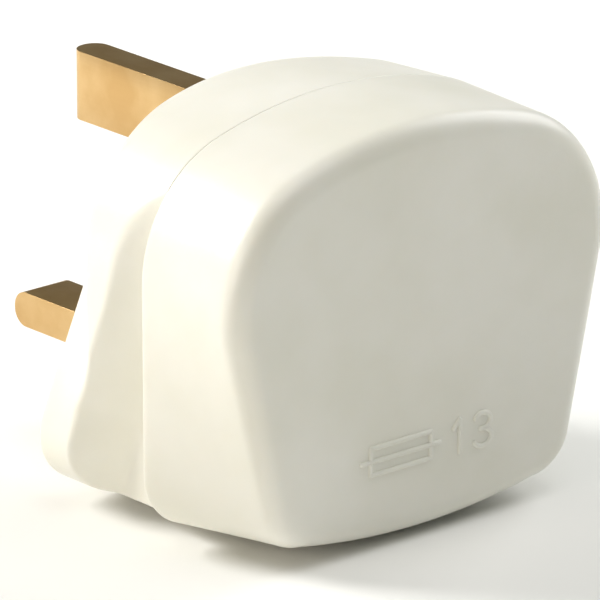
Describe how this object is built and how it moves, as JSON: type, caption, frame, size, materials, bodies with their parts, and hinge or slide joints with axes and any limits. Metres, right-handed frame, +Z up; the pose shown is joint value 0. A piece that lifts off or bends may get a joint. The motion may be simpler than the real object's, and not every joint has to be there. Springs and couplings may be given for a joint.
{
  "type": "uk three pin plug",
  "caption": "Fused three pin mains plug with a deep domed cover, finger grips in its sides and flat brass pins.",
  "frame": {"origin": "on the pin face, midway between the centres of the live and neutral pins", "axes": "+X to the right as the cover face is seen, +Y out of the pin face along the pins, +Z up with the earth pin on top"},
  "size_m": [0.054, 0.0577, 0.0475],
  "materials": {
    "shell": "moulded thermoset, soft gloss",
    "pin_brass": "drawn and milled, satin",
    "terminal_brass": "sawn from bar, satin",
    "clip_brass": "pressed sheet, satin",
    "screw_steel": "zinc plated",
    "washer_fibre": "vulcanised fibre",
    "fuse_ceramic": null,
    "fuse_sand": null,
    "fuse_silver": "plated copper wire and caps",
    "grip_nylon": "moulded nylon"
  },
  "bodies": {
    "root": {"base": "shell", "cover": "shell", "cover_screw": "screw_steel", "screw_washer": "washer_fibre", "cover_insert": "terminal_brass", "earth_pin": "pin_brass", "earth_terminal_screw": "screw_steel", "neutral_pin": "pin_brass", "neutral_terminal_screw": "screw_steel", "live_pin": "pin_brass", "live_pin_clip": "clip_brass", "live_terminal": "terminal_brass", "live_terminal_screw": "screw_steel", "live_terminal_clip": "clip_brass", "clip_rivet": "terminal_brass", "fuse_tube": "fuse_ceramic", "lower_fuse_cap": "fuse_silver", "upper_fuse_cap": "fuse_silver", "fuse_filling": "fuse_sand", "fuse_wire": "fuse_silver", "cord_grip": "grip_nylon", "left_grip_screw": "screw_steel", "right_grip_screw": "screw_steel"}
  },
  "joints": []
}
